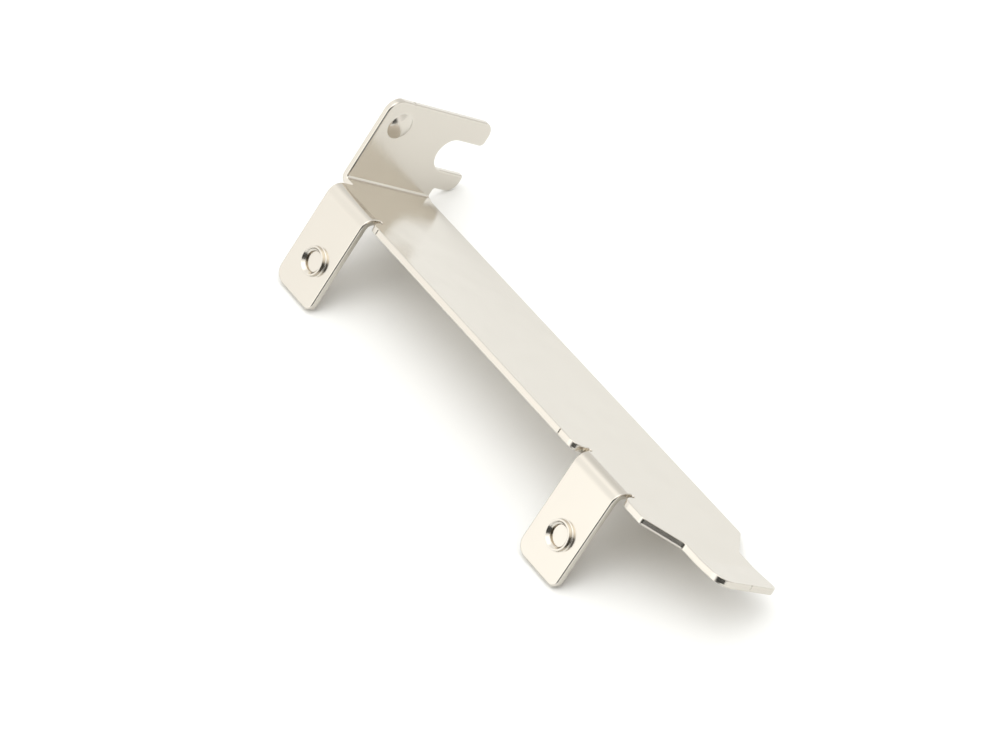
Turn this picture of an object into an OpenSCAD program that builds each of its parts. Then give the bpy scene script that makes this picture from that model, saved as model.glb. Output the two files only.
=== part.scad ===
// Low-profile slot cover bracket: one folded sheet with a notched tab, a tongue
// and two ears that carry extruded, threaded collars.
//
// It is drawn in the sheet's own axes: x runs from the tab's seat face to the tip
// of the tongue, y across the plate from the ear side, and z out of the plate's
// outer face. lay_down() then turns it to the pose in which it rests on a table.

/* [Sheet] */
// Thickness of the sheet
sheet_t = 0.86; // [0.6:0.02:1.1]
// Inner radius of the fold between the plate and the tab
tab_fold_r = 0.4; // [0.2:0.05:0.8]
// Inner radius of the folds between the plate and the ears
ear_fold_r = 0.84; // [0.5:0.02:1.2]

/* [Plate] */
// Width of the plate
plate_w = 18.42; // [17.4:0.02:19.6]
// Length from the tab's seat face to the tip of the tongue
plate_l = 79.6; // [76:0.1:90]
// Width that the plate has at the tab's fold, past the far edge
neck_over = 0.4; // [0.2:0.01:0.8]
// Length over which the far edge widens towards the tab's fold
neck_l = 0.9; // [0.5:0.05:1.6]

/* [Tongue] */
// Width of the tongue
tongue_w = 10.05; // [8:0.05:11]
// Distance of the tongue's near edge from the plate's near edge
tongue_y = 4.05; // [3.2:0.05:5]
// Distance from the tip to the start of the near shoulder
near_shoulder = 11.25; // [9:0.05:13]
// Distance from the tip to the start of the far shoulder
far_shoulder = 11.6; // [10:0.05:14]
// Corner radius of the tip on the near side
tip_near_r = 2; // [0.5:0.1:3]
// Corner radius of the tip on the far side
tip_far_r = 1; // [0.5:0.1:3]
// Radius of the shoulders' corners
shoulder_r = 0.8; // [0.3:0.1:1.2]
// Angle by which the tip is bent outwards
kick_angle = 4.5; // [1:0.5:12]
// Bend radius of the kicked tip
kick_r = 12; // [6:0.5:20]
// Distance from the tip to the start of its bend
kick_start = 4.75; // [3:0.1:6]

/* [Tab] */
// Height of the tab above the plate's outer face
tab_h = 11.75; // [11:0.05:13]
// Width of the tab
tab_w = 18.7; // [17.6:0.1:20]
// Distance of the tab's near edge from the plate's near edge
tab_y = 3.7; // [3.2:0.1:4.4]
// Corner radius of the tab on the near side
tab_near_r = 1.9; // [0.5:0.1:2.5]
// Corner radius of the upper prong's tip, on top
prong_top_r = 1.7; // [0.5:0.1:1.9]
// Corner radius of the upper prong's tip beside the notch
prong_inner_r = 0.7; // [0.2:0.1:0.8]
// Corner radius of the lower prong's tip beside the notch
prong_lower_r = 0.3; // [0.1:0.1:0.6]
// Corner radius of the lower prong's tip, underneath
prong_under_r = 1.65; // [0.5:0.05:1.8]
// Height of the lower prong's underside above the plate
prong_under_z = 1.3; // [1.2:0.02:1.5]

/* [Screw notch] */
// Width of the screw notch
notch_w = 4.5; // [4:0.02:4.8]
// Depth of the notch from the tab's far edge
notch_depth = 6.6; // [5:0.1:8]
// Height of the notch's middle above the plate's outer face
notch_z = 6.18; // [6.1:0.02:6.4]

/* [Locating boss] */
// Diameter of the boss
boss_d = 3.84; // [3:0.02:4.4]
// Height of the boss above the seat face
boss_h = 0.5; // [0.2:0.05:0.6]
// Distance of the boss's centre from the tab's near edge
boss_y = 3.15; // [2.7:0.05:4]
// Height of the boss's centre above the plate's outer face
boss_z = 8.6; // [8:0.05:8.9]
// Diameter of the boss's flat top
boss_top_d = 2.5; // [1.5:0.1:2.8]

/* [Ears] */
// Width of each ear
ear_w = 8; // [6.8:0.05:9]
// Height of the ears below the plate's outer face
ear_h = 14.4; // [13:0.1:16]
// Distance of the first ear from the seat face
ear_x = 1.7; // [1.5:0.05:3]
// Distance from ear to ear
ear_pitch = 53.9; // [50:0.1:56]
// Corner radius of the ears on the tab's side
ear_tab_side_r = 1.8; // [0.5:0.1:2.2]
// Corner radius of the ears on the tongue's side
ear_tongue_side_r = 1.1; // [0.5:0.1:2.2]
// Fillet radius of the inner corners beside the tab's fold
inner_corner_r = 0.3; // [0.1:0.05:0.5]
// Width of the relief slots beside the ears
relief_w = 0.7; // [0.5:0.05:1]
// Depth of the relief slots past the folds
relief_over = 0.6; // [0.4:0.05:1]
// Radius of the plate's corners at the relief slots
relief_corner_r = 0.9; // [0.3:0.05:1]

/* [Threaded collars] */
// Radius of the threaded bore's wall, at the thread's crests
bore_r = 1.28; // [1.1:0.01:1.4]
// Outer radius of the collar
collar_r = 1.88; // [1.7:0.02:2.1]
// Height of the collar above the ear's outer face
collar_h = 1.3; // [0.8:0.05:1.6]
// Distance of the bore from the ear's middle, towards the tongue
bore_shift = 0.5; // [-0.6:0.05:0.6]
// Distance of the bore below the plate's outer face
bore_z = 9.1; // [8.4:0.1:9.8]
// Radius of the bore's drawn-in mouth, at the ear's inner face
mouth_r = 0.84; // [0.2:0.02:0.86]
// Size of the bore's 45 degree chamfer, at the collar's rim
bore_chamfer = 0.42; // [0.1:0.02:0.44]
// Radius of the collar's rounded rim
collar_rim_r = 0.1; // [0.05:0.01:0.15]
// Radius of the fillet at the collar's root
collar_root_r = 0.15; // [0.1:0.05:0.4]

/* [Hidden] */
$fn = 64;
past = 1;
nickel = [0.80, 0.78, 0.74];

ear_root = ear_fold_r + sheet_t;
tab_fold_out = tab_fold_r + sheet_t;
neck_y = plate_w + neck_over;
neck_x = tab_fold_r + 0.1;
relief_tip = ear_root + relief_over;
tab_far = tab_y + tab_w;
tongue_far = tongue_y + tongue_w;
notch_r = notch_w / 2;
notch_y = tab_far - notch_depth + notch_r;
near_x = plate_l - near_shoulder;
far_x = plate_l - far_shoulder;
far_cut = plate_w - tongue_far;
kick_x = plate_l - kick_start;
ears = [ear_x, ear_x + ear_pitch];
bore_x = ear_w / 2 + bore_shift;
boss_back = boss_h - 0.1;
boss_slope = (boss_d - boss_top_d) / 2 / boss_h;

// The ears' inner bottom edges and either the far edge or the lower prong touch the table.
prong_y = tab_far - prong_under_r;
prong_z = prong_under_z + prong_under_r;
prong_reach = norm([prong_y - sheet_t, prong_z + ear_h]);
tilt_on_neck = atan2(ear_h - sheet_t, neck_y - sheet_t);
tilt_on_prong = atan2(prong_z + ear_h, prong_y - sheet_t) - asin(prong_under_r / prong_reach);
tilt = min(tilt_on_neck, tilt_on_prong);
rest_z = sheet_t * sin(tilt) + ear_h * cos(tilt);
rest_low_y = -ear_h * sin(tilt);
rest_high_y = (tab_far - prong_top_r) * cos(tilt) + (tab_h - prong_top_r) * sin(tilt) + prong_top_r;

function toward(angle, distance) = distance * [cos(angle), sin(angle)];

// What a rounded corner takes away: the corner at v, whose sides leave it at the angles a and b.
module corner(v, a, b, r) {
  middle = (a + b) / 2;
  half = abs(b - a) / 2;
  side = r / tan(half);
  translate(v)
    difference() {
      polygon([[0, 0], toward(a, side), toward(middle, r / sin(half)), toward(b, side)]);
      translate(toward(middle, r / sin(half)))
        circle(r);
    }
}

// A quarter of a ring, opening towards +x and +y from its middle.
module fold_section(inner_r, outer_r) {
  intersection() {
    difference() {
      circle(outer_r);
      circle(inner_r);
    }
    translate([-outer_r - past, -outer_r - past])
      square(outer_r + past);
  }
}

module relief_slot(x) {
  translate([x - relief_w / 2, -past])
    square([relief_w, relief_tip - relief_w / 2 + past]);
  translate([x, relief_tip - relief_w / 2])
    circle(relief_w / 2);
}

module plate_outline() {
  difference() {
    polygon([
      [tab_fold_r, tab_y], [ear_x, tab_y], [ear_x, 0],
      [near_x, 0], [near_x + tongue_y, tongue_y], [plate_l, tongue_y],
      [plate_l, tongue_far], [far_x + far_cut, tongue_far], [far_x, plate_w],
      [neck_x + neck_l, plate_w], [neck_x, neck_y], [tab_fold_r, neck_y]
    ]);
    for (x = ears) {
      translate([x, -past])
        square([ear_w, ear_root + past]);
      relief_slot(x + ear_w + relief_w / 2);
      corner([x + ear_w + relief_w, 0], 0, 90, relief_corner_r);
    }
    relief_slot(ears[1] - relief_w / 2);
    corner([ears[1] - relief_w, 0], 90, 180, relief_corner_r);
    corner([near_x, 0], 45, 180, shoulder_r);
    corner([far_x, plate_w], 180, 315, shoulder_r);
    corner([plate_l, tongue_y], 90, 180, tip_near_r);
    corner([plate_l, tongue_far], 180, 270, tip_far_r);
  }
  corner([ear_x, tab_y], 180, 270, inner_corner_r);
  corner([near_x + tongue_y, tongue_y], 225, 360, shoulder_r);
  corner([far_x + far_cut, tongue_far], 0, 135, shoulder_r);
}

// The plate seen from its near edge, with the tip's outward bend.
module plate_profile() {
  translate([tab_fold_r, -sheet_t])
    square([kick_x - tab_fold_r, sheet_t]);
  translate([kick_x, kick_r]) {
    intersection() {
      difference() {
        circle(kick_r + sheet_t, $fn = 360);
        circle(kick_r, $fn = 360);
      }
      translate([0, -2 * kick_r])
        square(2 * kick_r);
      rotate(kick_angle)
        translate([-2 * kick_r, -2 * kick_r])
          square(2 * kick_r);
    }
    rotate(kick_angle)
      translate([0, -kick_r - sheet_t])
        square([kick_start + past, sheet_t]);
  }
}

module plate() {
  intersection() {
    translate([0, neck_y + past, 0])
      rotate([90, 0, 0])
        linear_extrude(neck_y + 2 * past)
          plate_profile();
    translate([0, 0, -sheet_t - past])
      linear_extrude(sheet_t + kick_start + 2 * past)
        plate_outline();
  }
}

module tab_outline() {
  difference() {
    polygon([
      [tab_y, tab_fold_r], [neck_y, tab_fold_r], [neck_y, prong_under_z],
      [tab_far, prong_under_z], [tab_far, tab_h], [tab_y, tab_h]
    ]);
    translate([notch_y, notch_z])
      circle(notch_r);
    translate([notch_y, notch_z - notch_r])
      square([notch_depth + past, notch_w]);
    corner([tab_y, tab_h], -90, 0, tab_near_r);
    corner([tab_far, tab_h], 180, 270, prong_top_r);
    corner([tab_far, notch_z + notch_r], 90, 180, prong_inner_r);
    corner([tab_far, notch_z - notch_r], 180, 270, prong_lower_r);
    corner([tab_far, prong_under_z], 90, 180, prong_under_r);
  }
  corner([neck_y, prong_under_z], -90, 0, inner_corner_r);
}

// A truncated cone with the boss's slope, from a depth below its foot to a height above it
module dimple(low, high) {
  translate([0, 0, -low])
    cylinder(r1 = boss_d / 2 + low * boss_slope, r2 = boss_d / 2 - high * boss_slope, h = low + high);
}

// A round boss or collar that stands on z = 0, with a rounded rim.
module drawn_disc(r, h, rim_r) {
  rotate_extrude() {
    square([r - rim_r, h]);
    square([r, h - rim_r]);
    translate([r - rim_r, h - rim_r])
      intersection() {
        circle(rim_r);
        square(rim_r);
      }
  }
}

module tab() {
  difference() {
    rotate([90, 0, 90])
      translate([0, 0, -sheet_t])
        linear_extrude(sheet_t)
          tab_outline();
    translate([-sheet_t, tab_y + boss_y, boss_z])
      rotate([0, 90, 0])
        dimple(past, boss_back);
  }
  translate([0, tab_y + boss_y, boss_z])
    rotate([0, 90, 0])
      dimple(0, boss_h);
  translate([tab_fold_r, neck_y, tab_fold_r])
    rotate([90, 0, 0])
      linear_extrude(neck_y - tab_y)
        fold_section(tab_fold_r, tab_fold_out);
}

module ear_outline() {
  difference() {
    translate([0, -ear_h])
      square([ear_w, ear_h - ear_root]);
    corner([0, -ear_h], 0, 90, ear_tab_side_r);
    corner([ear_w, -ear_h], 90, 180, ear_tongue_side_r);
  }
}

// Fillet round the foot of a collar, as a ring on z = 0.
module root_fillet(r, fillet_r) {
  rotate_extrude()
    difference() {
      translate([r - fillet_r, 0])
        square([2 * fillet_r, fillet_r]);
      translate([r + fillet_r, fillet_r])
        circle(fillet_r);
    }
}

// The bore with its drawn-in mouth, along z, from the ear's inner face at z = 0.
module threaded_bore() {
  translate([0, 0, -past])
    cylinder(r = bore_r, h = sheet_t + collar_h + 2 * past);
  rotate_extrude()
    difference() {
      square([bore_r + mouth_r, mouth_r]);
      translate([bore_r + mouth_r, mouth_r])
        circle(mouth_r);
    }
  translate([0, 0, sheet_t + collar_h - bore_chamfer])
    cylinder(r1 = bore_r, r2 = bore_r + bore_chamfer + past, h = bore_chamfer + past);
}

module ear() {
  difference() {
    union() {
      rotate([90, 0, 0])
        translate([0, 0, -sheet_t])
          linear_extrude(sheet_t)
            ear_outline();
      translate([bore_x, 0, -bore_z])
        rotate([90, 0, 0]) {
          drawn_disc(collar_r, collar_h, collar_rim_r);
          root_fillet(collar_r, collar_root_r);
        }
    }
    translate([bore_x, sheet_t, -bore_z])
      rotate([90, 0, 0])
        threaded_bore();
  }
  translate([0, ear_root, -ear_root])
    rotate([90, 0, 90])
      mirror([0, 1])
        linear_extrude(ear_w)
          fold_section(ear_fold_r, ear_root);
}

module lay_down() {
  translate([-(plate_l - sheet_t) / 2, -(rest_low_y + rest_high_y) / 2, rest_z])
    rotate([-tilt, 0, 0])
      children();
}

module bracket() {
  color(nickel)
    lay_down() {
      plate();
      tab();
      for (x = ears)
        translate([x, 0, 0])
          ear();
    }
}

bracket();
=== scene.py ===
"""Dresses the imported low-profile slot bracket: one folded, nickel-plated sheet on a white floor.

The sheet is modelled flat, in a plane with u along the plate, v across it and w out of its outer face,
and then bent round the folds, so its rolled edges and its thread keep exact normals.
"""

import math

import bpy
import numpy as np
from mathutils.geometry import delaunay_2d_cdt
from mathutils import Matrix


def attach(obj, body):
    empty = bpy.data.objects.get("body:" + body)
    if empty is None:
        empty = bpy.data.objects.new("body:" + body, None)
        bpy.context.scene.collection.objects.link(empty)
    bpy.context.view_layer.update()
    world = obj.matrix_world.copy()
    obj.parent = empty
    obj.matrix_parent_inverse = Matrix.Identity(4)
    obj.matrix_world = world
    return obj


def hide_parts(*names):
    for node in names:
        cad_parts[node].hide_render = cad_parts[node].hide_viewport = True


bl_info = {
    "name": "Slot Bracket",
    "version": (1, 0, 0),
    "blender": (4, 5, 0),
    "location": "View3D > Sidebar > Slot Bracket",
    "description": "Builds a folded sheet-metal slot bracket and the white floor it lies on",
    "category": "Add Mesh",
}

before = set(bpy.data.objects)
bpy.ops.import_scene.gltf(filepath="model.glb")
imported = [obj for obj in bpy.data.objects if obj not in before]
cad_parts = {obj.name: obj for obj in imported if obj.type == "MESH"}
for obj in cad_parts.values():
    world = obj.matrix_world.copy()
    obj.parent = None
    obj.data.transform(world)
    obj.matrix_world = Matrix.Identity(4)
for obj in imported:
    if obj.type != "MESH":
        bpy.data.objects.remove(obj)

MM = 0.001
# Steps of round stretches: the folds, the tongue's bend, the rolled edge, the burr side and the boss's cap.
FOLD_STEPS = 24
KICK_STEPS = 4
ROLL_STEPS = 6
BURR_STEPS = 3
CAP_STEPS = 13
ARC_STEP = math.radians(5.0)
# Steps round the boss and the bores, and rows of the thread along one pitch.
TURN = 128
THREAD_TURN = 160
THREAD_ROWS = 20
# The cap's last ring, as an angle from its top.
CAP_TOP = 0.03
# Share of the thread's tooth that is cut at its crest and at its root.
TIP_CUT = 0.1
# Radius of a bore's sharp lip, and half the height over which the sheared zone turns into the torn one.
LIP_R = 0.02 * MM
TURN_OVER = 0.02 * MM
# Share of a small cut's half width that parts its two middle stations.
SLIT = 0.001
# In the unit at hand, two places count as one within SAME, two levels within SAME_LEVEL, and two
# directions within SAME_WAY.
SAME = 1e-7
SAME_LEVEL = 1e-8
SAME_WAY = 1e-6
# How near a point may lie to a side that it belongs to, and the smallest doubled area of a triangle.
SIDE_BAND = 0.1 * MM
THIN = 1e-16


def length(name, default, text):
    """A length property with its name, default and description."""
    return bpy.props.FloatProperty(
        name=name, description=text, default=default, unit="LENGTH", precision=6
    )


def angle(name, degrees, text):
    """An angle property with its name, default in degrees and description."""
    return bpy.props.FloatProperty(
        name=name, description=text, default=math.radians(degrees), unit="ROTATION"
    )


def factor(name, default, text, low=0.0, high=1.0):
    """A plain number with its name, default, range and description."""
    return bpy.props.FloatProperty(
        name=name, description=text, default=default, min=low, max=high, unit="NONE"
    )


def triple(name, default, text, subtype="NONE", unit="NONE"):
    """Three numbers with their name, defaults, description and kind."""
    return bpy.props.FloatVectorProperty(
        name=name, description=text, default=default, size=3, subtype=subtype, unit=unit
    )


class SheetSettings(bpy.types.PropertyGroup):
    """Sizes of the folded sheet and of the edges that the press leaves."""

    sheet_t: length("Sheet thickness", 0.86 * MM, "Thickness of the sheet")
    tab_fold_r: length("Tab fold radius", 0.34 * MM, "Inner radius of the fold between plate and tab")
    ear_fold_r: length("Ear fold radius", 0.84 * MM, "Inner radius of the fold between plate and ear")
    plate_w: length("Plate width", 18.42 * MM, "Width of the plate")
    plate_l: length("Plate length", 79.6 * MM, "Length from the tab's face to the tongue's end")
    neck_over: length("Neck step", 0.4 * MM, "How far the neck at the tab stands past the plate's far edge")
    neck_l: length("Neck length", 0.9 * MM, "Length of the neck's slope")
    neck_gap: length("Neck gap", 0.1 * MM, "Distance of the neck from the tab's fold")
    tongue_w: length("Tongue width", 10.05 * MM, "Width of the tongue")
    tongue_y: length("Tongue offset", 4.05 * MM, "Distance of the tongue from the plate's near edge")
    near_shoulder: length("Near shoulder", 11.25 * MM, "Distance of the near shoulder from the tongue's end")
    far_shoulder: length("Far shoulder", 11.6 * MM, "Distance of the far shoulder from the tongue's end")
    tip_near_r: length("Near tip radius", 2.0 * MM, "Radius of the tongue's near corner")
    tip_far_r: length("Far tip radius", 1.0 * MM, "Radius of the tongue's far corner")
    shoulder_r: length("Shoulder radius", 0.8 * MM, "Radius of the shoulders' corners")
    kick_angle: angle("Kick angle", 4.5, "How far the tongue's tip is bent out")
    kick_r: length("Kick radius", 12.0 * MM, "Radius of the tongue's bend")
    kick_start: length("Kick start", 4.75 * MM, "Distance of the bend from the tongue's end")
    tab_h: length("Tab height", 11.75 * MM, "Height of the tab over the plate's outer face")
    tab_w: length("Tab width", 18.7 * MM, "Width of the tab")
    tab_y: length("Tab offset", 3.7 * MM, "Distance of the tab from the plate's near edge")
    tab_near_r: length("Tab near radius", 1.9 * MM, "Radius of the tab's near top corner")
    prong_top_r: length("Prong top radius", 1.7 * MM, "Radius of the upper prong's top corner")
    prong_inner_r: length("Upper prong radius", 0.7 * MM, "Radius of the upper prong's corner at the notch")
    prong_lower_r: length("Lower prong radius", 0.3 * MM, "Radius of the lower prong's corner at the notch")
    prong_under_r: length("Prong under radius", 1.65 * MM, "Radius of the lower prong's bottom corner")
    prong_under_z: length("Prong height", 1.3 * MM, "Height of the lower prong over the plate's outer face")
    notch_w: length("Notch width", 4.5 * MM, "Width of the screw notch")
    notch_depth: length("Notch depth", 6.6 * MM, "Depth of the screw notch")
    notch_z: length("Notch height", 6.18 * MM, "Height of the notch's centre line")
    boss_d: length("Boss diameter", 3.6 * MM, "Diameter of the pressed boss")
    boss_h: length("Boss height", 0.65 * MM, "Height of the pressed boss")
    boss_y: length("Boss offset", 3.3 * MM, "Distance of the boss from the tab's near edge")
    boss_z: length("Boss level", 8.5 * MM, "Height of the boss over the plate's outer face")
    boss_root_r: length("Boss root radius", 0.5 * MM, "Fillet radius of the boss's root")
    hollow_less: length("Hollow loss", 0.1 * MM, "How much lower the hollow behind the boss is")
    hollow_root_r: length("Hollow root radius", 0.15 * MM, "Radius of the hollow's edge")
    ear_w: length("Ear width", 8.0 * MM, "Width of an ear")
    ear_h: length("Ear height", 14.4 * MM, "Height of an ear under the plate's outer face")
    ear_x: length("Ear offset", 1.7 * MM, "Distance of the first ear from the tab's face")
    ear_pitch: length("Ear pitch", 53.9 * MM, "Distance from ear to ear")
    ear_tab_side_r: length("Ear radius, tab side", 1.8 * MM, "Radius of an ear's tab-side corner")
    ear_tongue_side_r: length("Ear radius, tongue side", 1.1 * MM, "Radius of an ear's tongue-side corner")
    inner_corner_r: length("Inner corner radius", 0.3 * MM, "Radius of the corners beside the tab's fold")
    relief_w: length("Relief width", 0.7 * MM, "Width of the relief slots beside the ears")
    relief_over: length("Relief overrun", 0.6 * MM, "How far the relief slots run past the fold")
    relief_corner_r: length("Relief corner radius", 1.45 * MM, "Radius of the corners at the relief slots")
    bore_r: length("Thread minor radius", 1.28 * MM, "Radius of the thread's crests")
    thread_depth: length("Thread depth", 0.25 * MM, "Height of the thread's ridges")
    thread_pitch: length("Thread pitch", 0.5 * MM, "Pitch of the thread")
    collar_r: length("Collar radius", 1.88 * MM, "Outer radius of the drawn collars")
    collar_h: length("Collar height", 0.62 * MM, "Height of the drawn collars")
    bore_chamfer: length("Bore chamfer", 0.4 * MM, "Size of the bores' 45 degree chamfer at the rim")
    collar_rim_r: length("Collar rim radius", 0.05 * MM, "Radius of a collar's outer rim")
    collar_root_r: length("Collar root radius", 0.15 * MM, "Fillet radius of a collar's root")
    bore_shift: length("Bore shift", 0.5 * MM, "Distance of a bore from its ear's middle")
    bore_z: length("Bore level", 9.1 * MM, "Distance of the bores from the plate's outer face")
    mouth_r: length("Mouth radius", 0.35 * MM, "Radius of the bores' drawn mouths")
    roll_w: length("Edge roll width", 0.27 * MM, "Width of the rolled edge on the outer side")
    roll_h: length("Edge roll depth", 0.28 * MM, "Depth of the rolled edge on the outer side")
    plate_roll: factor("Plate roll", 0.45, "Share of the edge roll that the plate's own edges have")
    tick_depth: length("Tick depth", 0.1 * MM, "Depth of the small cuts across the edges")
    tick_w: length("Tick width", 0.3 * MM, "Width of the small cuts across the edges")
    tick_past_ear: length("First tick", 2.35 * MM, "Distance of the first cut from the first ear")
    tick_before_ear: length("Second tick", 4.0 * MM, "Distance of the second cut from the second ear")
    tick_on_tongue: length("Tongue tick", 5.26 * MM, "Distance of the tongue's cut from its near edge")
    tick_on_tab: length("Tab tick", 3.76 * MM, "Distance of the tab's cut from its near edge")
    burr_r: length("Burr-side radius", 0.04 * MM, "Radius of the edge on the inner side")
    torn_h: length("Torn zone", 0.22 * MM, "Height of the torn zone under the sheared one")
    torn_angle: angle("Torn slope", 7.0, "How far the torn zone leans in")


class FinishSettings(bpy.types.PropertyGroup):
    """Colour and roughness of the plating."""

    metal: triple("Plating", (0.66, 0.61, 0.53), "Colour of the plating", "COLOR")
    rough: factor("Roughness", 0.19, "Roughness of the flat faces")
    rough_low: factor("Smooth patches", 0.9, "Share of the roughness in the smoothest patches")
    rough_high: factor("Rough patches", 1.12, "Share of the roughness in the roughest patches", 0.0, 2.0)
    patches: factor("Patch scale", 260.0, "Number of patches to a metre", 0.0, 5000.0)
    patch_detail: factor("Patch detail", 3.0, "Detail of the patches' outlines", 0.0, 15.0)
    patch_low: factor("Patch low", 0.35, "Noise level of the smoothest patches")
    patch_high: factor("Patch high", 0.65, "Noise level of the roughest patches")


class StageSettings(bpy.types.PropertyGroup):
    """Floor, light and camera. Directions are in degrees: round from +X, or up from the floor."""

    floor_r: length("Floor half width", 3.0, "Half the width of the floor")
    floor_tone: factor("Floor tone", 0.97, "Reflectance of the floor")
    floor_tint: triple("Floor tint", (0.99, 1.0, 1.0), "Tint of the light that the floor gives the part")
    floor_seen: triple("Floor as seen", (1.03, 1.015, 0.975), "Tint of the floor as the camera sees it")
    tent_colour: triple("Tent colour", (0.97, 0.985, 1.0), "Colour of the light tent", "COLOR")
    sky: factor("Surround light", 1.3, "Strength of the light tent around the part", 0.0, 10.0)
    top: factor("Top light", 2.2, "Strength of the tent's top", 0.0, 10.0)
    top_from: factor("Top from", 62.0, "How high the tent's top begins", 0.0, 90.0)
    top_to: factor("Top to", 120.0, "Where the tent's top ends, past the point overhead", 90.0, 180.0)
    top_soft: factor("Top softness", 24.0, "Width of the soft edge of the tent's top", 0.0, 90.0)
    back_less: factor("Back loss", 0.35, "How much weaker the tent's back is")
    back_from: factor("Back from", 20.0, "Where the tent's back begins", -180.0, 180.0)
    back_to: factor("Back to", 150.0, "Where the tent's back ends", -180.0, 180.0)
    back_soft: factor("Back softness", 40.0, "Width of the soft edges of the tent's back", 0.0, 90.0)
    lamp: factor("Lamp light", 1.74, "Strength of the tent's lamp side", 0.0, 10.0)
    lamp_from: factor("Lamp from", -126.0, "Where the lamp side begins", -180.0, 180.0)
    lamp_to: factor("Lamp to", -88.0, "Where the lamp side ends", -180.0, 180.0)
    lamp_soft: factor("Lamp softness", 12.0, "Width of the soft edges beside the lamp side", 0.0, 90.0)
    lamp_low: factor("Lamp bottom", -5.0, "How low the lamp side reaches", -90.0, 90.0)
    lamp_high: factor("Lamp top", 60.0, "How high the lamp side reaches", 0.0, 90.0)
    lamp_fade: factor("Lamp fade", 20.0, "Width of the soft edges over and under the lamp side", 0.0, 90.0)
    gap: factor("Gap light", 0.06, "Share of the light that comes through the tent's open front")
    gap_from: factor("Gap from", -80.0, "Where the open front begins", -180.0, 180.0)
    gap_to: factor("Gap to", 0.0, "Where the open front ends", -180.0, 180.0)
    gap_soft: factor("Gap softness", 10.0, "Width of the soft edges beside the open front", 0.0, 90.0)
    gap_low: factor("Gap bottom", -4.0, "How low the open front reaches", -90.0, 90.0)
    gap_high: factor("Gap top", 46.0, "How high the open front reaches", 0.0, 90.0)
    gap_fade: factor("Gap fade", 8.0, "Width of the soft edges over and under the open front", 0.0, 90.0)
    lens: factor("Lens", 160.0, "Focal length of the camera in millimetres", 1.0, 500.0)
    sensor: factor("Sensor width", 36.0, "Width of the camera's sensor in millimetres", 1.0, 100.0)
    eye: triple("Camera place", (0.30447, -0.21802, 0.37625), "Place of the camera", "TRANSLATION", "LENGTH")
    eye_turn: triple(
        "Camera turn", tuple(math.radians(a) for a in (45.2978, -1.4231, 56.8282)),
        "Turn of the camera about X, Y and Z", "EULER", "ROTATION",
    )


def swap(where, columns, rows):
    """The rows, with the stacked columns' values in those that are chosen."""
    return np.where(where[:, None], np.stack(columns, 1), rows)


def smooth(x):
    """The smooth step of x between 0 and 1: x squared times 3 - 2x."""
    return x * x * (3 - 2 * x)


def place(s, u, v, w):
    """Bends flat points (u, v, w) round the folds.

    On a fold of radius r at the outer face, an arc length a turns the sheet by a / r, so the point is the
    fold's centre plus r times the turned normal, and the rest of the length runs straight on from the
    fold's end. Returns the places and the unit vectors of growing u, growing v and growing w there, all
    as (n, 3) arrays.
    """
    zero = np.zeros_like(u)
    one = np.ones_like(u)
    spot = np.stack([u, v, zero], 1)
    to_u = np.stack([one, zero, zero], 1)
    to_v = np.stack([zero, one, zero], 1)
    to_w = np.stack([zero, zero, one], 1)

    r = s.tab_fold_r
    tab = u < r
    arc = np.clip((r - u) / r, 0.0, math.pi / 2)
    rest = np.maximum(r - u - r * math.pi / 2, 0.0)
    spot = swap(tab, [r - r * np.sin(arc), v, r - r * np.cos(arc) + rest], spot)
    to_u = swap(tab, [np.cos(arc), zero, -np.sin(arc)], to_u)
    to_w = swap(tab, [np.sin(arc), zero, np.cos(arc)], to_w)

    r = s.kick_r
    start = s.plate_l - s.kick_start
    tip = u > start
    arc = np.clip((u - start) / r, 0.0, s.kick_angle)
    rest = np.maximum(u - start - r * s.kick_angle, 0.0)
    along = start + r * np.sin(arc) + rest * np.cos(arc)
    spot = swap(tip, [along, v, r - r * np.cos(arc) + rest * np.sin(arc)], spot)
    to_u = swap(tip, [np.cos(arc), zero, np.sin(arc)], to_u)
    to_w = swap(tip, [-np.sin(arc), zero, np.cos(arc)], to_w)

    r = s.ear_fold_r + s.sheet_t
    ear = beside_ears(s, u, s.relief_w / 3) & (v < r)
    arc = np.clip((r - v) / r, 0.0, math.pi / 2)
    rest = np.maximum(r - v - r * math.pi / 2, 0.0)
    spot = swap(ear, [u, r - r * np.sin(arc), r * np.cos(arc) - r - rest], spot)
    to_v = swap(ear, [zero, np.cos(arc), np.sin(arc)], to_v)
    to_w = swap(ear, [zero, -np.sin(arc), np.cos(arc)], to_w)
    return spot + w[:, None] * to_w, to_u, to_v, to_w


def ear_starts(s):
    """Where the two ears begin along the plate."""
    return (s.ear_x, s.ear_x + s.ear_pitch)


def beside_ears(s, u, slack):
    """Which u lie within an ear's width, with some slack on both sides."""
    inside = np.zeros(len(u), bool)
    for x in ear_starts(s):
        inside |= (u > x - slack) & (u < x + s.ear_w + slack)
    return inside


def tab_u(s, z):
    """Flat u of a height z on the tab."""
    return s.tab_fold_r - s.tab_fold_r * math.pi / 2 - (z - s.tab_fold_r)


def ear_v(s, z):
    """Flat v of a depth z on an ear."""
    r = s.ear_fold_r + s.sheet_t
    return r - r * math.pi / 2 - (z - r)


def slope(s):
    """How far the sheet lies turned: the slope from the ears' lower inner edge to the neck's lower edge."""
    return math.atan2(s.ear_h - s.sheet_t, s.plate_w + s.neck_over - s.sheet_t)


def lay_down(s, rows):
    """Turns rows of vectors about the sheet's long axis by its slope."""
    c, n = math.cos(slope(s)), math.sin(slope(s))
    x, y, z = rows.T
    return np.stack([x, y * c + z * n, z * c - y * n], 1)


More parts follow.
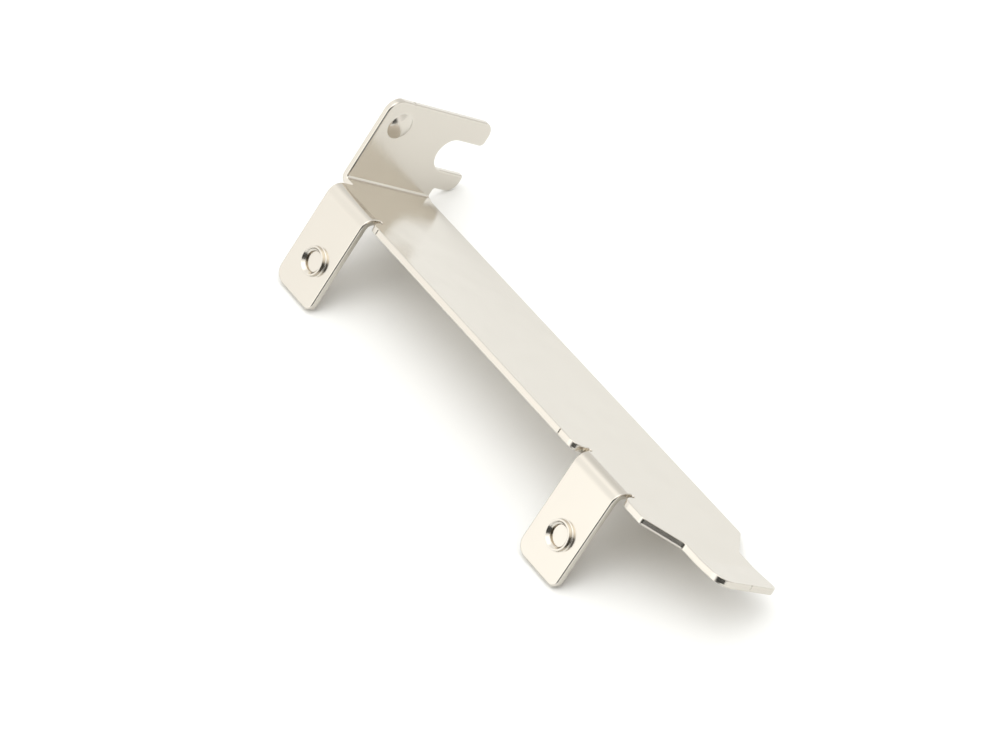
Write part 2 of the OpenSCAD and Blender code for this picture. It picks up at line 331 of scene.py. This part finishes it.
def rest_place(s):
    """Where the sheet's own origin lies once the part touches the floor and is centred over it."""
    c, n = math.cos(slope(s)), math.sin(slope(s))
    r = s.prong_top_r
    far = (s.tab_y + s.tab_w - r) * c + (s.tab_h - r) * n + r
    return np.array([-(s.plate_l - s.sheet_t) / 2, -(far - s.ear_h * n) / 2, s.sheet_t * n + s.ear_h * c])


def tongue_end(s):
    """Flat u of the tongue's end: the bend's arc and the straight length that reaches the plate's length."""
    rest = (s.kick_start - s.kick_r * math.sin(s.kick_angle)) / math.cos(s.kick_angle)
    return s.plate_l - s.kick_start + s.kick_r * s.kick_angle + rest


def corners(s):
    """The flat outline's corners (u, v, radius), anticlockwise from the first ear's lower corner."""
    end = ear_v(s, s.ear_h)
    slot_r = s.relief_w / 2
    slot_top = s.ear_fold_r + s.sheet_t + s.relief_over
    edge_r = s.relief_corner_r
    first, second = ear_starts(s)
    first_end, second_end = first + s.ear_w, second + s.ear_w
    rows = [(first, end, s.ear_tab_side_r), (first_end, end, s.ear_tongue_side_r)]
    rows += [(first_end, slot_top, slot_r), (first_end + s.relief_w, slot_top, slot_r)]
    rows += [(first_end + s.relief_w, 0.0, edge_r), (second - s.relief_w, 0.0, edge_r)]
    rows += [(second - s.relief_w, slot_top, slot_r), (second, slot_top, slot_r)]
    rows += [(second, end, s.ear_tab_side_r), (second_end, end, s.ear_tongue_side_r)]
    rows += [(second_end, slot_top, slot_r), (second_end + s.relief_w, slot_top, slot_r)]

    near_x = s.plate_l - s.near_shoulder
    far_x = s.plate_l - s.far_shoulder
    tongue_far = s.tongue_y + s.tongue_w
    far_cut = s.plate_w - tongue_far
    tip = tongue_end(s)
    rows += [(second_end + s.relief_w, 0.0, edge_r), (near_x, 0.0, s.shoulder_r)]
    rows += [(near_x + s.tongue_y, s.tongue_y, s.shoulder_r), (tip, s.tongue_y, s.tip_near_r)]
    rows += [(tip, tongue_far, s.tip_far_r), (far_x + far_cut, tongue_far, s.shoulder_r)]
    rows += [(far_x, s.plate_w, s.shoulder_r)]

    neck = s.plate_w + s.neck_over
    neck_x = s.tab_fold_r + s.neck_gap
    under, top = tab_u(s, s.prong_under_z), tab_u(s, s.tab_h)
    tab_far = s.tab_y + s.tab_w
    half = s.notch_w / 2
    notch_low, notch_high = tab_u(s, s.notch_z - half), tab_u(s, s.notch_z + half)
    inner = tab_far - s.notch_depth
    small = s.inner_corner_r
    rows += [(neck_x + s.neck_l, s.plate_w, small), (neck_x, neck, small)]
    rows += [(under, neck, small), (under, tab_far, s.prong_under_r)]
    rows += [(notch_low, tab_far, s.prong_lower_r), (notch_low, inner, half)]
    rows += [(notch_high, inner, half), (notch_high, tab_far, s.prong_inner_r)]
    rows += [(top, tab_far, s.prong_top_r), (top, s.tab_y, s.tab_near_r), (s.ear_x, s.tab_y, small)]
    return np.array(rows)


def rounded(rows):
    """Rounds a closed path's corners.

    Each corner becomes an arc that touches both its sides, at radius times the tangent of half the turn
    from it. Returns the points and their outward unit normals.
    """
    spot = rows[:, :2]
    along = np.roll(spot, -1, 0) - spot
    along /= np.linalg.norm(along, axis=1)[:, None]
    points, normals = [], []
    for i, (_, _, r) in enumerate(rows):
        a, b = along[i - 1], along[i]
        turn = math.atan2(a[0] * b[1] - a[1] * b[0], a @ b)
        side = math.copysign(1.0, turn)
        start = spot[i] - a * r * math.tan(abs(turn) / 2)
        centre = start + side * r * np.array([-a[1], a[0]])
        steps = np.linspace(0.0, turn, max(3, int(abs(turn) / ARC_STEP) + 2))
        c, n = np.cos(steps), np.sin(steps)
        normal = np.stack([a[1] * c + a[0] * n, a[1] * n - a[0] * c], 1)
        points.append(centre + side * r * normal)
        normals.append(normal)
    points, normals = np.concatenate(points), np.concatenate(normals)
    keep = np.linalg.norm(points - np.roll(points, 1, 0), axis=1) > SAME
    return points[keep], normals[keep]


def cut_at(points, normals, axis, levels, window):
    """Adds a point where a straight side crosses a level of one axis, inside a window of the other.

    Axis 0 is u and axis 1 is v.
    """
    for level in levels:
        after = np.roll(points, -1, 0)
        straight = abs(np.roll(normals, -1, 0) - normals).max(1) < SAME_WAY
        a, b = points[:, axis] - level, after[:, axis] - level
        hit = np.where((a * b < 0) & (np.minimum(abs(a), abs(b)) > SAME_LEVEL) & straight)[0]
        share = a[hit] / (a[hit] - b[hit])
        new = points[hit] + share[:, None] * (after[hit] - points[hit])
        inside = (new[:, 1 - axis] > window[0]) & (new[:, 1 - axis] < window[1])
        hit, new = hit[inside], new[inside]
        points = np.insert(points, hit + 1, new, 0)
        normals = np.insert(normals, hit + 1, normals[hit], 0)
    return points, normals


def fold_levels(s):
    """Levels of u and of v at which the folds turn on by one step."""
    r_ear = s.ear_fold_r + s.sheet_t
    tab = s.tab_fold_r - np.linspace(0, s.tab_fold_r * math.pi / 2, FOLD_STEPS // 2 + 1)
    kick = s.plate_l - s.kick_start + np.linspace(0, s.kick_r * s.kick_angle, KICK_STEPS + 1)
    ear = r_ear - np.linspace(0, r_ear * math.pi / 2, FOLD_STEPS + 1)
    return tab, kick, ear


class Flat:
    """Collects points, normals and faces of the flat sheet before it is bent."""

    def __init__(self):
        self.spots, self.normals, self.faces, self.count = [], [], [], 0

    def add(self, spots, normals):
        """Adds rows (u, v, w) with normals in the same axes, and returns their numbers."""
        first = self.count
        self.spots.append(spots)
        self.normals.append(normals)
        self.count += len(spots)
        return np.arange(first, self.count)

    def band(self, a, b):
        """Quads between two rings of equal length, whose outer side is on the left of a going on to b."""
        self.faces.append(np.stack([a, np.roll(a, -1), np.roll(b, -1), b], 1))

    def fill(self, rings, links, up):
        """Triangles between an outer ring and the holes in it, with links that the fill has to keep.

        rings are arrays of point numbers, the first the outer one, and links are pairs of point numbers.
        The fill is worked out in millimetres.
        """
        ids = np.concatenate(rings)
        every = np.concatenate(self.spots)
        flat = every[ids][:, :2] / MM
        back = {int(n): i for i, n in enumerate(ids)}
        edges = [(back[int(a)], back[int(b)]) for a, b in links]
        start = 0
        for ring in rings:
            n = np.arange(start, start + len(ring))
            edges += list(zip(n.tolist(), np.roll(n, -1).tolist()))
            start += len(ring)
        _, _, tris, origin, _, _ = delaunay_2d_cdt([tuple(p) for p in flat.tolist()], edges, [], 2, SAME)
        if len(origin) != len(ids) or any(len(o) != 1 for o in origin):
            raise RuntimeError("the sheet's outline crosses itself")
        order = ids[np.array([o[0] for o in origin])]
        tris = order[np.array(tris)]
        p = every[tris][:, :, :2]
        d, e = p[:, 1] - p[:, 0], p[:, 2] - p[:, 0]
        area = d[:, 0] * e[:, 1] - d[:, 1] * e[:, 0]
        solid = abs(area) > THIN
        tris = tris[solid]
        wrong = (area[solid] > 0) != up
        tris[wrong] = tris[wrong][:, ::-1]
        self.faces.append(tris)


def ring_profile(s):
    """The sheet's edge from the outer face to the inner one, as rows (inset, w, outward part, upward part).

    The rolled edge is a quarter ellipse, the torn zone leans in by its slope, and the burr side is a
    small arc.
    """
    a = np.linspace(0.0, math.pi / 2, ROLL_STEPS + 1)
    out, up = s.roll_h * np.sin(a), s.roll_w * np.cos(a)
    size = np.hypot(out, up)
    roll = np.stack([s.roll_w * (1 - np.sin(a)), -s.roll_h * (1 - np.cos(a)), out / size, up / size], 1)
    co, si = math.cos(s.torn_angle), math.sin(s.torn_angle)
    torn_top = -s.sheet_t + s.torn_h
    low = -s.sheet_t + s.burr_r
    inset = (torn_top - low) * si / co
    side = np.array([
        [0, torn_top + TURN_OVER, 1, 0],
        [TURN_OVER / 2 * si / co, torn_top - TURN_OVER, co, -si],
        [inset, low, co, -si],
    ])
    b = np.linspace(s.torn_angle, math.pi / 2, BURR_STEPS + 1)[1:]
    c, n = np.cos(b), np.sin(b)
    burr = np.stack([inset + s.burr_r * (co - c), low - s.burr_r * (n - si), c, -n], 1)
    burr[-1, 1] = -s.sheet_t
    return np.concatenate([roll, side, burr])


def edge_bands(flat, points, normals, shade, profile, share, dent):
    """Sweeps the edge profile along the outline, and returns the first and the last ring.

    The rolled rows are scaled by each point's share, and all rows move in by its dent.
    """
    rings = []
    for k, (inset, w, out, up) in enumerate(profile):
        scale = share if k <= ROLL_STEPS else 1.0
        inward = inset * scale + dent
        spots = np.column_stack([points - inward[:, None] * normals, np.full(len(points), w) * scale])
        rings.append(flat.add(spots, np.column_stack([out * shade, np.full(len(points), up)])))
    for a, b in zip(rings[:-1], rings[1:]):
        flat.band(b, a)
    return rings[0], rings[-1]


def circle(count):
    """The angles of a circle's steps, and the unit vectors (cosine, sine) at them."""
    a = np.arange(count) * 2 * math.pi / count
    return a, np.stack([np.cos(a), np.sin(a)], 1)


def turned(flat, centre, profile, count, outer_side):
    """Turns a profile with rows (radius, w, outward part, upward part) about a centre in the flat plane.

    A point is the centre plus its radius times (cosine, sine) of its turn. Returns the first and the last
    ring.
    """
    _, ways = circle(count)
    rings = []
    for r, w, out, up in profile:
        spots = np.column_stack([np.asarray(centre) + r * ways, np.full(count, w)])
        rings.append(flat.add(spots, np.column_stack([out * ways, np.full(count, up)])))
    for a, b in zip(rings[:-1], rings[1:]):
        flat.band(a, b) if outer_side else flat.band(b, a)
    return rings[0], rings[-1]


def quarter(radius, w, r, start, stop, steps=5):
    """Rows of an arc about (radius, w) with radius r, from one angle to another, with normals out of it."""
    a = np.radians(np.linspace(start, stop, steps))
    return np.stack([radius + r * np.cos(a), w + r * np.sin(a), np.cos(a), np.sin(a)], 1)


def hollow(rows):
    """The same rows with their normals pointing into the arc."""
    return rows * np.array([1, 1, -1, -1])


def thread(s, w, mouth):
    """A threaded bore's radius and unit normals at each height w and each turn, down to its mouth.

    The radius is the crest's plus the depth times a tooth of the phase w / pitch - turn / 360 degrees.
    The tooth is a triangle wave with cut tips, halfway to its smooth step. The depth fades in over the
    first half pitch above the mouth, and a 45 degree chamfer at the rim cuts into all of it.
    """
    a, ways = circle(THREAD_TURN)
    phase = (w[:, None] / s.thread_pitch - a[None, :] / (2 * math.pi)) % 1.0
    tooth = np.clip((1 - abs(2 * phase - 1) - TIP_CUT) / (1 - 2 * TIP_CUT), 0.0, 1.0)
    tooth = (smooth(tooth) + tooth) / 2
    fade = np.clip((w - mouth) / (s.thread_pitch / 2), 0.0, 1.0)[:, None]
    chamfer = s.bore_r + s.bore_chamfer - (s.collar_h - w)
    r = np.maximum(s.bore_r + s.thread_depth * tooth * fade, chamfer[:, None])
    by_turn = (np.roll(r, -1, 1) - np.roll(r, 1, 1)) / (4 * math.pi / THREAD_TURN)
    by_w = np.gradient(r, w, axis=0)
    across = np.stack([-ways[:, 1], ways[:, 0]], 1)
    inward = (by_turn / r)[..., None] * across[None] - ways[None]
    n = np.concatenate([inward, by_w[..., None]], 2)
    return r, n / np.linalg.norm(n, axis=2)[..., None]


def collar(flat, s, centre):
    """A drawn collar with its threaded bore: its ring on the outer face and its ring on the inner one."""
    root, rim = s.collar_root_r, s.collar_rim_r
    foot = hollow(quarter(s.collar_r + root, root, root, 270, 180))
    edge = quarter(s.collar_r - rim, s.collar_h - rim, rim, 0, 90)
    first, top = turned(flat, centre, np.concatenate([foot, edge]), THREAD_TURN, True)
    mouth = -s.sheet_t + s.mouth_r
    w = np.linspace(s.collar_h - LIP_R, mouth, int(THREAD_ROWS * (s.collar_h - mouth) / s.thread_pitch))
    r, normals = thread(s, w, mouth)
    lip = quarter(r[0, 0] + LIP_R, s.collar_h - LIP_R, LIP_R, 90, 135, 3)
    lip, above = turned(flat, centre, lip, THREAD_TURN, True)
    flat.band(top, lip)
    _, ways = circle(THREAD_TURN)
    for radii, height, n in zip(r, w, normals):
        spots = np.column_stack([np.asarray(centre) + radii[:, None] * ways, np.full(THREAD_TURN, height)])
        row = flat.add(spots, n)
        flat.band(above, row)
        above = row
    drawn = quarter(s.bore_r + s.mouth_r, mouth, s.mouth_r, 180, 270, 7)[1:]
    inner, last = turned(flat, centre, drawn, THREAD_TURN, True)
    flat.band(above, inner)
    return first, last


def cap_rows(foot, h, root):
    """A spherical cap's section from its foot up, with a root fillet.

    The sphere's radius is (foot squared + h squared) / 2h, and the fillet's arc touches the sheet and the
    sphere.
    """
    ball = (foot * foot + h * h) / (2 * h)
    base = h - ball
    out = math.sqrt((ball + root) ** 2 - (root - base) ** 2)
    lean = math.atan2(out, root - base)
    low = hollow(quarter(out, root, root, 270, 270 - math.degrees(lean)))
    p = np.linspace(lean, CAP_TOP, CAP_STEPS + 1)[1:]
    high = np.stack([ball * np.sin(p), base + ball * np.cos(p), np.sin(p), np.cos(p)], 1)
    return np.concatenate([low, high])


def boss(flat, s):
    """The pressed boss on the tab: its ring on the outer face and the ring of the hollow behind it."""
    centre = (tab_u(s, s.boss_z), s.tab_y + s.boss_y)
    front = cap_rows(s.boss_d / 2, s.boss_h, s.boss_root_r)
    first, middle = turned(flat, centre, front, TURN, True)
    flat.faces.append(middle[None, :])
    back = hollow(cap_rows(s.boss_d / 2, s.boss_h - s.hollow_less, s.hollow_root_r))
    back[:, 1] -= s.sheet_t
    last, inner = turned(flat, centre, back, TURN, False)
    flat.faces.append(inner[None, ::-1])
    return first, last


def roll_share(s, points):
    """How much of the edge roll each outline point has.

    It is the plate's own share, and grows by a smooth step to all of it round the folds.
    """
    u, v = points.T
    r = s.ear_fold_r + s.sheet_t
    by_ear = np.clip((r - v) / (r * math.pi / 2), 0.0, 1.0)
    by_ear = np.where(beside_ears(s, u, SIDE_BAND), by_ear, 0.0)
    by_tab = np.clip((s.tab_fold_r - u) / (s.tab_fold_r * math.pi / 2), 0.0, 1.0)
    return s.plate_roll + (1.0 - s.plate_roll) * smooth(np.maximum(by_ear, by_tab))


def edge_cuts(s):
    """The small cuts: the axis that the edge runs along, the cut's level on it, and the edge's own level."""
    first, second = ear_starts(s)
    return [
        (0, first + s.ear_w + s.tick_past_ear, 0.0),
        (0, second - s.tick_before_ear, 0.0),
        (1, s.tongue_y + s.tick_on_tongue, tongue_end(s)),
        (1, s.tab_y + s.tick_on_tab, tab_u(s, s.tab_h)),
    ]


def ticked(s, points, normals):
    """Adds the small cuts: V grooves whose depth falls to 0 at half the width from each cut's middle.

    Returns the points with stations at the cuts, their normals, those leaning into the cuts, and their
    insets.
    """
    half = s.tick_w / 2
    for axis, at, side in edge_cuts(s):
        levels = at + half * np.array([-1.0, -0.5, -SLIT, SLIT, 0.5, 1.0])
        points, normals = cut_at(points, normals, axis, levels, (side - SIDE_BAND, side + SIDE_BAND))
    inset = np.zeros(len(points))
    lean = np.zeros_like(points)
    for axis, at, side in edge_cuts(s):
        away = points[:, axis] - at
        inside = (abs(away) < half * (1 + SLIT)) & (abs(points[:, 1 - axis] - side) < SAME)
        wall = inside & (abs(away) < half * (1 - SLIT))
        inset = np.where(inside, s.tick_depth * (1 - abs(away) / half), inset)
        lean[:, axis] = np.where(wall, -np.sign(away) * s.tick_depth / half, lean[:, axis])
    shade = normals + lean
    return points, normals, shade / np.linalg.norm(shade, axis=1)[:, None], inset


def level_links(points, ring, axis, levels, low, high):
    """Pairs of ring points that face each other at each level, on the other axis's low and high sides."""
    pairs = []
    for level in levels:
        at = abs(points[:, axis] - level) < SAME_LEVEL
        a = np.where(at & (abs(points[:, 1 - axis] - low) < SAME))[0]
        b = np.where(at & (abs(points[:, 1 - axis] - high) < SAME))[0]
        if len(a) != 1 or len(b) != 1:
            raise RuntimeError("a fold's level misses the outline")
        pairs.append((ring[a[0]], ring[b[0]]))
    return pairs


def flat_sheet(s):
    """The whole sheet laid flat, with its edges, collars and boss."""
    flat = Flat()
    points, normals = rounded(corners(s))
    tab, kick, ear = fold_levels(s)
    far = s.plate_w + s.neck_over
    points, normals = cut_at(points, normals, 0, tab, (0.0, far + MM))
    points, normals = cut_at(points, normals, 0, kick, (0.0, far))
    points, normals = cut_at(points, normals, 1, ear, (s.ear_x - MM, s.plate_l - s.near_shoulder))
    points, normals, shade, dent = ticked(s, points, normals)
    top, bottom = edge_bands(flat, points, normals, shade, ring_profile(s), roll_share(s, points), dent)
    spans = [(0, tab, s.tab_y, far), (0, kick, s.tongue_y, s.tongue_y + s.tongue_w)]
    spans += [(1, ear, x, x + s.ear_w) for x in ear_starts(s)]
    links_top, links_bottom = [], []
    for span in spans:
        links_top += level_links(points, top, *span)
        links_bottom += level_links(points, bottom, *span)
    middle = s.ear_w / 2 + s.bore_shift
    holes = [collar(flat, s, (x + middle, ear_v(s, s.bore_z))) for x in ear_starts(s)]
    holes.append(boss(flat, s))
    flat.fill([top] + [outer for outer, _ in holes], links_top, True)
    flat.fill([bottom] + [inner for _, inner in holes], links_bottom, False)
    return flat


def sheet_mesh(s):
    """The folded sheet as a mesh with exact normals, in the row's frame."""
    flat = flat_sheet(s)
    n = np.concatenate(flat.normals)
    spots, to_u, to_v, to_w = place(s, *np.concatenate(flat.spots).T)
    normals = lay_down(s, n[:, :1] * to_u + n[:, 1:2] * to_v + n[:, 2:] * to_w)
    normals /= np.linalg.norm(normals, axis=1)[:, None]
    faces = [face for rows in flat.faces for face in rows.tolist()]
    mesh = bpy.data.meshes.new("bracket_sheet")
    mesh.from_pydata((lay_down(s, spots) + rest_place(s)).tolist(), [], faces)
    if mesh.validate(verbose=False):
        raise RuntimeError("the sheet's mesh had faults")
    mesh.shade_smooth()
    mesh.normals_split_custom_set_from_vertices(normals.tolist())
    mesh.update()
    return mesh


def node(tree, kind, spot, **values):
    """Adds a shader node at a spot of the graph and sets its properties."""
    made = tree.nodes.new(kind)
    made.location = spot
    for key, value in values.items():
        setattr(made, key, value)
    return made


def plating(f):
    """Nickel plating: a metal with faint, broad changes of roughness."""
    mat = bpy.data.materials.new("nickel_plate")
    mat.use_nodes = True
    tree = mat.node_tree
    shader = tree.nodes["Principled BSDF"]
    shader.inputs["Base Color"].default_value = (*f.metal, 1.0)
    shader.inputs["Metallic"].default_value = 1.0
    coord = node(tree, "ShaderNodeTexCoord", (-900, 0))
    cloud = node(tree, "ShaderNodeTexNoise", (-650, 0))
    cloud.inputs["Scale"].default_value = f.patches
    cloud.inputs["Detail"].default_value = f.patch_detail
    spread = node(tree, "ShaderNodeMapRange", (-400, 0))
    spread.inputs["From Min"].default_value = f.patch_low
    spread.inputs["From Max"].default_value = f.patch_high
    spread.inputs["To Min"].default_value = f.rough * f.rough_low
    spread.inputs["To Max"].default_value = f.rough * f.rough_high
    tree.links.new(coord.outputs["Object"], cloud.inputs["Vector"])
    tree.links.new(cloud.outputs["Fac"], spread.inputs["Value"])
    tree.links.new(spread.outputs["Result"], shader.inputs["Roughness"])
    return mat


class SLOTBRACKET_OT_sheet(bpy.types.Operator):
    """Builds the folded sheet with its rolled edges, collars, threads and boss"""

    bl_idname = "slot_bracket.sheet"
    bl_label = "Build the Sheet"

    def execute(self, context):
        mesh = sheet_mesh(context.scene.slot_bracket_sheet)
        piece = bpy.data.objects.new("bracket_sheet", mesh)
        context.scene.collection.objects.link(piece)
        mesh.materials.append(plating(context.scene.slot_bracket_finish))
        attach(piece, "root")
        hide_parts("bracket")
        return {"FINISHED"}


def floor_material(g):
    """A white matt floor, a shade warmer for the camera than for the light it gives the part."""
    mat = bpy.data.materials.new("floor_white")
    mat.use_nodes = True
    tree = mat.node_tree
    shader = tree.nodes["Principled BSDF"]
    shader.inputs["Roughness"].default_value = 1.0
    shader.inputs["Specular IOR Level"].default_value = 0.0
    path = node(tree, "ShaderNodeLightPath", (-600, 200))
    mix = node(tree, "ShaderNodeMix", (-300, 100), data_type="RGBA")
    mix.inputs["A"].default_value = (*(g.floor_tone * tint for tint in g.floor_tint), 1.0)
    mix.inputs["B"].default_value = (*(g.floor_tone * tint for tint in g.floor_seen), 1.0)
    tree.links.new(path.outputs["Is Camera Ray"], mix.inputs["Factor"])
    tree.links.new(mix.outputs["Result"], shader.inputs["Base Color"])
    return mat


def maths(tree, kind, spot, a, b=None, c=None):
    """Adds a math node whose inputs are sockets or numbers, and returns its output."""
    made = node(tree, "ShaderNodeMath", spot, operation=kind)
    for socket, value in zip(made.inputs, (a, b, c)):
        if value is None:
            continue
        if isinstance(value, (int, float)):
            socket.default_value = value
        else:
            tree.links.new(value, socket)
    return made.outputs[0]


def zone(tree, spot, value, low, high, soft):
    """1 between low and high and 0 outside, with soft steps of the given width on both ends."""
    x, y = spot
    rise = node(tree, "ShaderNodeMapRange", (x, y), interpolation_type="SMOOTHSTEP")
    fall = node(tree, "ShaderNodeMapRange", (x, y - 260), interpolation_type="SMOOTHSTEP")
    half = soft / 2
    for step, start, stop in ((rise, low - half, low + half), (fall, high + half, high - half)):
        tree.links.new(value, step.inputs["Value"])
        step.inputs["From Min"].default_value = start
        step.inputs["From Max"].default_value = stop
    return maths(tree, "MULTIPLY", (x + 200, y - 100), rise.outputs["Result"], fall.outputs["Result"])


def surround(g):
    """The light tent as the world.

    It is bright all round, brighter at its lamp and its top, weaker at its back, and dark at its open
    front. The camera sees no less than plain white.
    """
    world = bpy.data.worlds.new("light_tent")
    world.use_nodes = True
    tree = world.node_tree
    shade = tree.nodes["Background"]
    coord = node(tree, "ShaderNodeTexCoord", (-1600, 0))
    split = node(tree, "ShaderNodeSeparateXYZ", (-1400, 0))
    tree.links.new(coord.outputs["Generated"], split.inputs["Vector"])
    x, y, z = (split.outputs[k] for k in "XYZ")
    turn = maths(tree, "DEGREES", (-1000, 200), maths(tree, "ARCTAN2", (-1200, 200), y, x))
    rise = maths(tree, "DEGREES", (-1000, -200), maths(tree, "ARCSINE", (-1200, -200), z))
    gap = maths(
        tree, "MULTIPLY", (-300, 300),
        zone(tree, (-700, 500), turn, g.gap_from, g.gap_to, g.gap_soft),
        zone(tree, (-700, 0), rise, g.gap_low, g.gap_high, g.gap_fade),
    )
    lamp = maths(
        tree, "MULTIPLY", (-300, -500),
        zone(tree, (-700, -500), turn, g.lamp_from, g.lamp_to, g.lamp_soft),
        zone(tree, (-700, -1000), rise, g.lamp_low, g.lamp_high, g.lamp_fade),
    )
    top = zone(tree, (-700, -1500), rise, g.top_from, g.top_to, g.top_soft)
    back = zone(tree, (-700, -2000), turn, g.back_from, g.back_to, g.back_soft)
    level = maths(tree, "MULTIPLY_ADD", (0, -300), lamp, g.lamp - g.sky, g.sky)
    level = maths(tree, "MULTIPLY_ADD", (0, -500), top, g.top - g.sky, level)
    level = maths(tree, "MULTIPLY_ADD", (0, -700), back, -g.back_less, level)
    kept = maths(tree, "MULTIPLY_ADD", (0, 200), gap, g.gap - 1.0, 1.0)
    level = maths(tree, "MULTIPLY", (200, 0), level, kept)
    path = node(tree, "ShaderNodeLightPath", (0, 600))
    seen = maths(tree, "MAXIMUM", (400, 200), path.outputs["Is Camera Ray"], level)
    shade.inputs["Color"].default_value = (*g.tent_colour, 1.0)
    tree.links.new(seen, shade.inputs["Strength"])
    return world


def camera(g):
    """The camera at its own place and turn, in the row's frame."""
    data = bpy.data.cameras.new("camera")
    data.lens = g.lens
    data.sensor_width = g.sensor
    data.clip_end = 10.0
    made = bpy.data.objects.new("camera", data)
    made.location = g.eye
    made.rotation_euler = g.eye_turn
    return made


class SLOTBRACKET_OT_stage(bpy.types.Operator):
    """Builds the floor, the light and the camera"""

    bl_idname = "slot_bracket.stage"
    bl_label = "Build the Stage"

    def execute(self, context):
        scene = context.scene
        g = scene.slot_bracket_stage
        mesh = bpy.data.meshes.new("floor")
        r = g.floor_r
        mesh.from_pydata([(-r, -r, 0), (r, -r, 0), (r, r, 0), (-r, r, 0)], [], [(0, 1, 2, 3)])
        mesh.materials.append(floor_material(g))
        floor = bpy.data.objects.new("floor", mesh)
        scene.collection.objects.link(floor)
        scene.world = surround(g)
        eye = camera(g)
        scene.collection.objects.link(eye)
        scene.camera = eye
        scene.view_settings.view_transform = "Standard"
        return {"FINISHED"}


class SLOTBRACKET_PT_panel(bpy.types.Panel):
    """Sidebar panel with the sizes and the two steps"""

    bl_idname = "SLOTBRACKET_PT_panel"
    bl_label = "Slot Bracket"
    bl_space_type = "VIEW_3D"
    bl_region_type = "UI"
    bl_category = "Slot Bracket"

    def draw(self, context):
        layout = self.layout
        scene = context.scene
        for group in (scene.slot_bracket_sheet, scene.slot_bracket_finish, scene.slot_bracket_stage):
            box = layout.box()
            for name in group.__annotations__:
                box.prop(group, name)
        layout.operator("slot_bracket.sheet")
        layout.operator("slot_bracket.stage")


CLASSES = (
    SheetSettings,
    FinishSettings,
    StageSettings,
    SLOTBRACKET_OT_sheet,
    SLOTBRACKET_OT_stage,
    SLOTBRACKET_PT_panel,
)


def register():
    """Registers the classes and puts the settings on the scene."""
    for cls in CLASSES:
        bpy.utils.register_class(cls)
    bpy.types.Scene.slot_bracket_sheet = bpy.props.PointerProperty(type=SheetSettings)
    bpy.types.Scene.slot_bracket_finish = bpy.props.PointerProperty(type=FinishSettings)
    bpy.types.Scene.slot_bracket_stage = bpy.props.PointerProperty(type=StageSettings)


def unregister():
    """Takes the settings off the scene and unregisters the classes."""
    del bpy.types.Scene.slot_bracket_sheet
    del bpy.types.Scene.slot_bracket_finish
    del bpy.types.Scene.slot_bracket_stage
    for cls in reversed(CLASSES):
        bpy.utils.unregister_class(cls)


def main():
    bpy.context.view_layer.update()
    register()
    bpy.ops.slot_bracket.sheet()
    bpy.ops.slot_bracket.stage()


if __name__ == "__main__":
    main()
